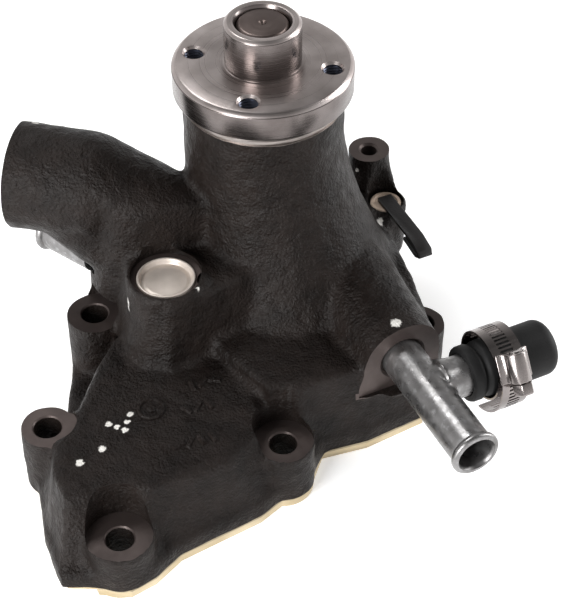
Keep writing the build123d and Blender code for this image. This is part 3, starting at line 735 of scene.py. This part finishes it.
def make_clamp_housing(material):
    """Pressed saddle arched over the worm."""
    low = SADDLE_FOOT
    up = WORM_HEIGHT
    outline = [(-6.5, low), (6.5, low), (6.5, low + 1.0), (4.6, low + 1.6)]
    for i in range(17):
        angle = math.radians(-20 + 220 * i / 16)
        outline.append((3.9 * math.cos(angle), up + 3.9 * math.sin(angle)))
    outline += [(-4.6, low + 1.6), (-6.5, low + 1.0)]
    mesh = bmesh.new()
    front = [mesh.verts.new(Vector((x, -5.5, z)) * MM) for x, z in outline]
    back = [mesh.verts.new(Vector((x, 5.5, z)) * MM) for x, z in outline]
    mesh.faces.new(front)
    mesh.faces.new(back)
    for i in range(len(outline)):
        n = (i + 1) % len(outline)
        mesh.faces.new((front[i], front[n], back[n], back[i]))
    housing = to_object("housing", mesh)
    combine(housing, bar("worm way", (0, -9, up), (0, 9, up), 2.66, 40), solver="EXACT")
    modify(housing, "BEVEL", width=0.00035, segments=3, limit_method="ANGLE", angle_limit=math.radians(40))
    clamp_place(housing)
    finish_piece(housing, "clamp_saddle", "clamp_housing", [material], 40)


def make_clamp_screw(material):
    """Slotted hexagon worm screw."""
    up = WORM_HEIGHT
    ridges = [(0, -6.2)]
    for k in range(8):
        ridges += [(2.2, -6.0 + 1.5 * k), (2.6, -5.5 + 1.5 * k), (2.6, -5.2 + 1.5 * k), (2.2, -4.8 + 1.5 * k)]
    ridges += [(2.2, 6.0), (0, 6.0)]
    shank = lathe("shank", ridges, (0, 0, up), (0, -1, 0), 40)
    mesh = bmesh.new()
    rings = []
    for y, grow in ((-6.0, 1.0), (-9.9, 1.0), (-10.45, 0.86)):
        corners = [math.radians(60 * i) for i in range(6)]
        reach = 4.0 * grow
        ring = [Vector((reach * math.cos(a), y, up + reach * math.sin(a))) * MM for a in corners]
        rings.append([mesh.verts.new(point) for point in ring])
    mesh.faces.new(rings[0])
    mesh.faces.new(rings[2])
    for a, b in ((0, 1), (1, 2)):
        for i in range(6):
            n = (i + 1) % 6
            mesh.faces.new((rings[a][i], rings[a][n], rings[b][n], rings[b][i]))
    head = to_object("head", mesh)
    combine(head, box("slot", (-6, -13, up - 0.6), (6, -9.0, up + 0.6)), solver="EXACT")
    modify(head, "BEVEL", width=0.00018, segments=2, limit_method="ANGLE", angle_limit=math.radians(25))
    screw = join([shank, head])
    clamp_place(screw)
    finish_piece(screw, "clamp_worm_screw", "clamp_screw", [material], 35)


def make_bypass(material):
    """Short plated tube with a bead."""
    reach = 25.0
    start = BYPASS_END - BYPASS_AXIS * reach
    profile = [(6.8, 0), (8.0, 0), (8.0, reach - 3.3), (8.6, reach - 2.8)]
    profile += [(9.15, reach - 2.1), (9.2, reach - 1.4), (9.1, reach - 0.7), (8.6, reach - 0.15)]
    profile += [(7.6, reach), (7.0, reach - 0.5), (6.8, reach - 1.2)]
    tube = lathe("tube", profile, start, BYPASS_AXIS)
    finish_piece(tube, "bypass_spout", "bypass_tube", [material], 40)


def make_port_plug(material):
    """Pale push-in plug with a shallow dish."""
    top = PORT_TOP
    profile = [(0, top - 8), (3.9, top - 8), (4.42, top - 7.2), (4.42, top)]
    profile += [(6.0, top), (6.2, top + 0.3), (6.2, top + 1.0)]
    profile += [(5.9, top + 1.35), (4.9, top + 1.35), (4.5, top + 0.9), (0, top + 0.8)]
    plug = lathe("plug", profile, (PORT.x, PORT.y, 0))
    finish_piece(plug, "push_plug", "port_plug", [material], 40)


def soft_copy(node, name, material, width=0.0003, degrees=35):
    """CAD shape with its edges broken by a small bevel."""
    made = cad_copy(node, name)
    modify(made, "BEVEL", width=width, segments=2, limit_method="ANGLE", angle_limit=math.radians(30))
    finish_piece(made, name, node, [material], degrees)


# ---------------------------------------------------------------- build

PAINT = [
    ((-74.8, 39.6, 99.8), 1.4),
    ((-65.3, -19.1, 54.5), 1.5),
    ((-65.3, -19.1, 51.5), 1.2),
    ((-43.0, -33.2, 63.0), 0.9),
    ((47.7, 16.2, 62.0), 1.6),
    ((45.7, 9.5, 56.7), 1.0),
    ((46.4, -9.6, 43.8), 1.6),
    ((18.3, -72.7, 54.6), 1.9),
    ((-104.3, -67.7, 34.0), 1.5),
    ((-94.9, -64.9, 33.8), 1.5),
    ((-88.5, -55.0, 34.0), 1.2),
    ((-86.3, -57.4, 34.0), 1.1),
    ((-84.3, -60.0, 34.0), 1.2),
    ((-82.0, -57.0, 34.0), 1.1),
    ((-79.8, -54.0, 34.0), 1.2),
]
cast = cast_material("cast skin", (0.0062, 0.0044, 0.0037), (0.0150, 0.0108, 0.0092), PAINT)
cut_iron = machined_material("cut iron", (0.055, 0.042, 0.039), (0.095, 0.074, 0.068), 0.45, 0.6)
rim_iron = turned_material("turned rim", (0.30, 0.27, 0.25), (0.42, 0.38, 0.36), 0.34)
face_steel = turned_material("faced steel", (0.40, 0.355, 0.34), (0.56, 0.505, 0.49), 0.3)
hub_steel = turned_material("turned steel", (0.145, 0.125, 0.12), (0.215, 0.19, 0.183), 0.24)
thread_steel = machined_material("thread", (0.07, 0.075, 0.10), (0.13, 0.14, 0.18), 0.3)
shaft_steel = turned_material("shaft end", (0.125, 0.098, 0.09), (0.18, 0.145, 0.134), 0.36, pitch=0.3)
plug_steel = turned_material(
    "pressed steel", (0.60, 0.53, 0.47), (0.78, 0.70, 0.63), 0.36, (PLUG.x, PLUG.y), 0.8
)
plug_steel.node_tree.nodes["Principled BSDF"].inputs["Metallic"].default_value = 0.35
zinc = zinc_material("zinc plate")
stainless = machined_material(
    "stainless strip", (0.20, 0.18, 0.175), (0.34, 0.31, 0.30), 0.2, 1.0, (1.0, 12.0, 1.0), 90.0
)
rubber = moulded_material("cap rubber", (0.0028, 0.0028, 0.0030), 0.6)
strap_black = moulded_material("strap plastic", (0.012, 0.011, 0.011), 0.42)
plug_tan = moulded_material("pale plug", (0.42, 0.33, 0.26), 0.5)
yellow_zinc = machined_material("yellow zinc", (0.52, 0.42, 0.26), (0.72, 0.62, 0.44), 0.36, 0.8)
paper = moulded_material("gasket paper", (0.30, 0.25, 0.17), 0.8, 0.0002)
bright = machined_material("ground steel", (0.45, 0.45, 0.46), (0.62, 0.62, 0.63), 0.16)
nylon = moulded_material("cage nylon", (0.46, 0.40, 0.28), 0.45)
nitrile = moulded_material("seal rubber", (0.014, 0.014, 0.014), 0.5)
ceramic = moulded_material("ceramic", (0.66, 0.64, 0.58), 0.16, 0.00002)
carbon = moulded_material("carbon", (0.025, 0.025, 0.027), 0.36)
brass = machined_material("pressed brass", (0.50, 0.36, 0.14), (0.66, 0.50, 0.22), 0.28)
iron = cast_material("impeller iron", (0.06, 0.055, 0.05), (0.10, 0.09, 0.085))

make_casting([cast, cut_iron, rim_iron])
make_hub(hub_steel, thread_steel, face_steel)
make_shaft(shaft_steel)
make_core_plug(plug_steel)
make_tee(zinc)
make_cap(rubber)
make_band(stainless)
make_clamp_housing(stainless)
make_clamp_screw(stainless)
make_bypass(zinc)
make_port_plug(plug_tan)
soft_copy("plug_pull_strap", "pull_strap", strap_black, 0.0004)
soft_copy("rear_cover_plate", "cover_plate", yellow_zinc, 0.00025)

# Editable copies of the seal's bellows and spring, each with a mesh of its own.
for node in ("seal_bellows", "seal_spring"):
    soft = cad_copy(node, "soft_" + node)
    finish_piece(soft, "soft_" + node, node, [nitrile if node == "seal_bellows" else bright], 40)
    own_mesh(soft)

CARRIED = {
    "cover_gasket": paper,
    "cover_screws": yellow_zinc,
    "bearing_outer_race": bright,
    "bearing_balls": bright,
    "ball_cage": nylon,
    "bearing_rollers": bright,
    "roller_cage": nylon,
    "bearing_seal_front": nitrile,
    "bearing_seal_rear": nitrile,
    "impeller": iron,
    "slinger": bright,
    "seal_seat": ceramic,
    "seat_boot": nitrile,
    "seal_carbon_ring": carbon,
    "seal_shell": brass,
}
for node, material in CARRIED.items():
    frame["nodes"][node].data.materials.clear()
    frame["nodes"][node].data.materials.append(material)

# ---------------------------------------------------------------- studio


def area_light(name, place_at, aim, size, power):
    """Soft rectangular light."""
    data = bpy.data.lights.new(name, "AREA")
    data.shape = "RECTANGLE"
    data.size, data.size_y = size
    data.energy = power
    made = bpy.data.objects.new(name, data)
    made.location = place_at
    made.rotation_euler = (Vector(aim) - Vector(place_at)).to_track_quat("-Z", "Y").to_euler()
    bpy.context.scene.collection.objects.link(made)


centre = (CAD_LOW + CAD_HIGH) / 2
floor_mesh = bmesh.new()
bmesh.ops.create_grid(floor_mesh, x_segments=1, y_segments=1, size=4.0)
floor = to_object("floor", floor_mesh)
floor.location = (centre.x, centre.y, CAD_LOW.z - 0.0002)
pale, pale_tree, pale_bsdf = shader("pale floor", 0.0, 0.9)
pale_bsdf.inputs["Base Color"].default_value = (0.95, 0.95, 0.95, 1.0)
pale_bsdf.inputs["Specular IOR Level"].default_value = 0.0
pale_bsdf.inputs["Emission Color"].default_value = (1.0, 1.0, 1.0, 1.0)
pale_bsdf.inputs["Emission Strength"].default_value = 0.4
floor.data.materials.append(pale)

world = bpy.data.worlds.new("studio")
bpy.context.scene.world = world
world.use_nodes = True
sky = world.node_tree
ground = sky.nodes["Background"]
ground.inputs["Color"].default_value = (1.0, 0.985, 0.98, 1.0)
direction = sky.nodes.new("ShaderNodeSeparateXYZ")
sky.links.new(sky.nodes.new("ShaderNodeTexCoord").outputs["Generated"], direction.inputs["Vector"])
sky.links.new(spread(sky, direction.outputs["Z"], 0.08, 0.90, 0.9, 0.10), ground.inputs["Strength"])

area_light("left", (-0.95, -0.55, 0.40), centre, (0.45, 0.8), 16.0)
area_light("right", (0.95, -0.15, 0.42), centre, (0.3, 0.9), 7.0)
area_light("top", (-0.25, 0.55, 1.05), centre, (0.5, 0.35), 5.0)

camera = bpy.data.objects.new("camera", bpy.data.cameras.new("camera"))
camera.data.lens = 99.0
camera.data.sensor_width = 36.0
camera.data.clip_start = 0.01
camera.data.clip_end = 20.0
camera.location = (-0.2083, -0.4418, 0.4723)
camera.rotation_mode = "QUATERNION"
camera.rotation_quaternion = Vector((0.3190, 0.6541, -0.6858)).to_track_quat("-Z", "Y")
bpy.context.scene.collection.objects.link(camera)
bpy.context.scene.camera = camera
bpy.context.scene.view_settings.view_transform = "Standard"
